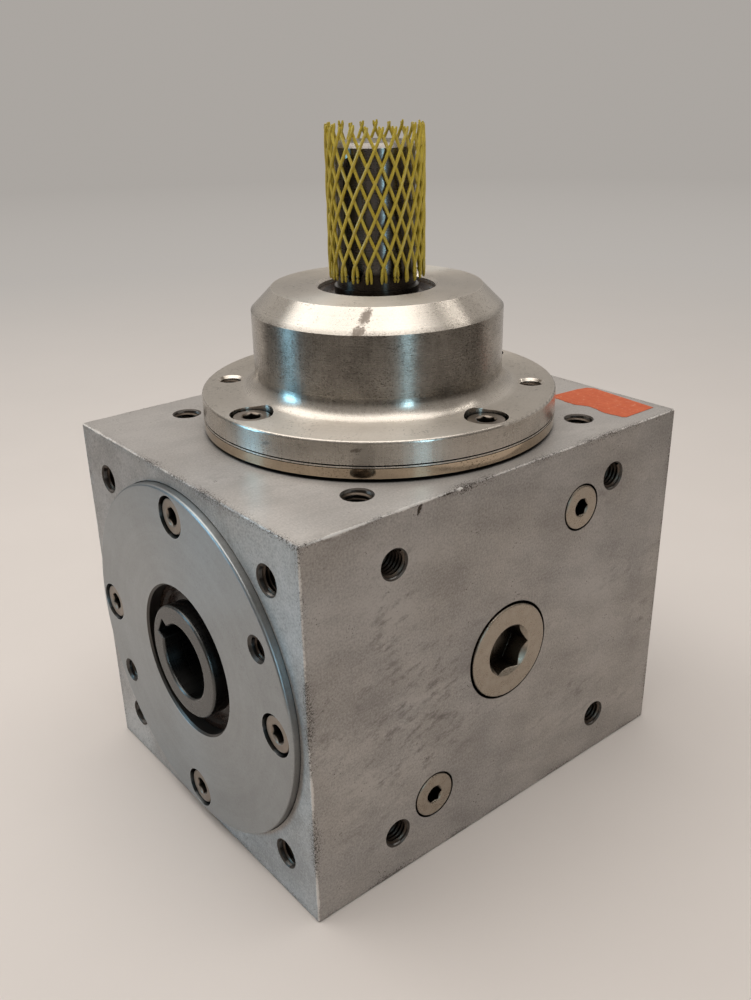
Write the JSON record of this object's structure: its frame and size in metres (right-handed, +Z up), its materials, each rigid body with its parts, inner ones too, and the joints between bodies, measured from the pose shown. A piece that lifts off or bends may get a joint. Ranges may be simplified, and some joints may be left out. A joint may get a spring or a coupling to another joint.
{
  "type": "spiral bevel gearbox",
  "caption": "Right-angle spiral bevel gearbox: block housing with round side covers, hollow keyed output shaft, flanged neck with a vertical input shaft under a protective net.",
  "frame": {"origin": "centre of the housing's bottom face", "axes": "+X along the hollow output shaft, +Z up along the input shaft, -Y is the face with the plugs"},
  "size_m": [0.1834, 0.1406, 0.2435],
  "materials": {
    "housing_iron": "bare machined grey iron, lightly mottled",
    "turned_steel": "turned bare steel",
    "ground_steel": "ground steel, oiled",
    "gear_steel": "ground case-hardened steel",
    "bearing_steel": "polished bearing steel",
    "cage_brass": "pressed brass",
    "screw_steel": "lightly tarnished steel",
    "plug_nickel": "warm nickel plating",
    "sealing_ring": "soft aluminium",
    "shim_steel": "rolled shim steel",
    "seal_rubber": "oiled black rubber",
    "gasket": "fibre gasket",
    "net_plastic": "yellow extruded net"
  },
  "bodies": {
    "case": {"housing": "housing_iron", "input_neck": "turned_steel", "neck_shims": "shim_steel", "neck_screws": "screw_steel", "input_seal": "seal_rubber", "retaining_ring": "bearing_steel", "cup_sleeve": "bearing_steel", "lower_pinion_cup": "bearing_steel", "upper_pinion_cup": "bearing_steel", "neck_bearing_outer_ring": "bearing_steel", "filler_plug": "plug_nickel", "filler_plug_ring": "sealing_ring", "level_plug": "plug_nickel", "level_plug_ring": "sealing_ring", "drain_plug": "plug_nickel", "drain_plug_ring": "sealing_ring", "left_cover": "turned_steel", "left_cover_gasket": "gasket", "left_cover_screws": "screw_steel", "left_output_seal": "seal_rubber", "left_bearing_cup": "bearing_steel", "right_cover": "turned_steel", "right_cover_gasket": "gasket", "right_cover_screws": "screw_steel", "right_output_seal": "seal_rubber", "right_bearing_cup": "bearing_steel"},
    "output_shaft": {"hollow_shaft": "ground_steel", "bevel_wheel": "gear_steel", "wheel_key": "bearing_steel", "wheel_spacer": "bearing_steel", "left_bearing_cone": "bearing_steel", "right_bearing_cone": "bearing_steel"},
    "input_shaft": {"input_shaft": "ground_steel", "lower_pinion_cone": "bearing_steel", "upper_pinion_cone": "bearing_steel", "lock_nut": "bearing_steel", "lock_washer": "bearing_steel", "neck_bearing_inner_ring": "bearing_steel"},
    "left_rollers": {"left_bearing_rollers": "bearing_steel", "left_bearing_cage": "cage_brass"},
    "right_rollers": {"right_bearing_rollers": "bearing_steel", "right_bearing_cage": "cage_brass"},
    "lower_pinion_rollers": {"lower_pinion_rollers": "bearing_steel", "lower_pinion_cage": "cage_brass"},
    "upper_pinion_rollers": {"upper_pinion_rollers": "bearing_steel", "upper_pinion_cage": "cage_brass"},
    "neck_rollers": {"neck_bearing_rollers": "bearing_steel", "neck_bearing_cage": "cage_brass"},
    "net": {"protective_net": "net_plastic"}
  },
  "joints": [
    {"name": "output_spin", "type": "hinge", "parent": "case", "child": "output_shaft", "pos_m": [0, 0, 0.07], "axis": [1, 0, 0], "continuous": true},
    {"name": "input_spin", "type": "hinge", "parent": "case", "child": "input_shaft", "pos_m": [0, 0, 0.07], "axis": [0, 0, 1], "continuous": true},
    {"name": "left_rollers_spin", "type": "hinge", "parent": "case", "child": "left_rollers", "pos_m": [0, 0, 0.07], "axis": [1, 0, 0], "continuous": true},
    {"name": "right_rollers_spin", "type": "hinge", "parent": "case", "child": "right_rollers", "pos_m": [0, 0, 0.07], "axis": [1, 0, 0], "continuous": true},
    {"name": "lower_pinion_rollers_spin", "type": "hinge", "parent": "case", "child": "lower_pinion_rollers", "pos_m": [0, 0, 0.07], "axis": [0, 0, 1], "continuous": true},
    {"name": "upper_pinion_rollers_spin", "type": "hinge", "parent": "case", "child": "upper_pinion_rollers", "pos_m": [0, 0, 0.07], "axis": [0, 0, 1], "continuous": true},
    {"name": "neck_rollers_spin", "type": "hinge", "parent": "case", "child": "neck_rollers", "pos_m": [0, 0, 0.07], "axis": [0, 0, 1], "continuous": true},
    {"name": "net_lift", "type": "slide", "parent": "input_shaft", "child": "net", "axis": [0, 0, 1], "range_m": [0, 0.05]}
  ],
  "couplings": [
    {"joint": "input_spin", "follows": "output_spin", "ratio": -2},
    {"joint": "left_rollers_spin", "follows": "output_spin", "ratio": 0.4415},
    {"joint": "right_rollers_spin", "follows": "output_spin", "ratio": 0.4415},
    {"joint": "lower_pinion_rollers_spin", "follows": "output_spin", "ratio": -0.8874},
    {"joint": "upper_pinion_rollers_spin", "follows": "output_spin", "ratio": -0.8874},
    {"joint": "neck_rollers_spin", "follows": "output_spin", "ratio": -0.8588}
  ]
}
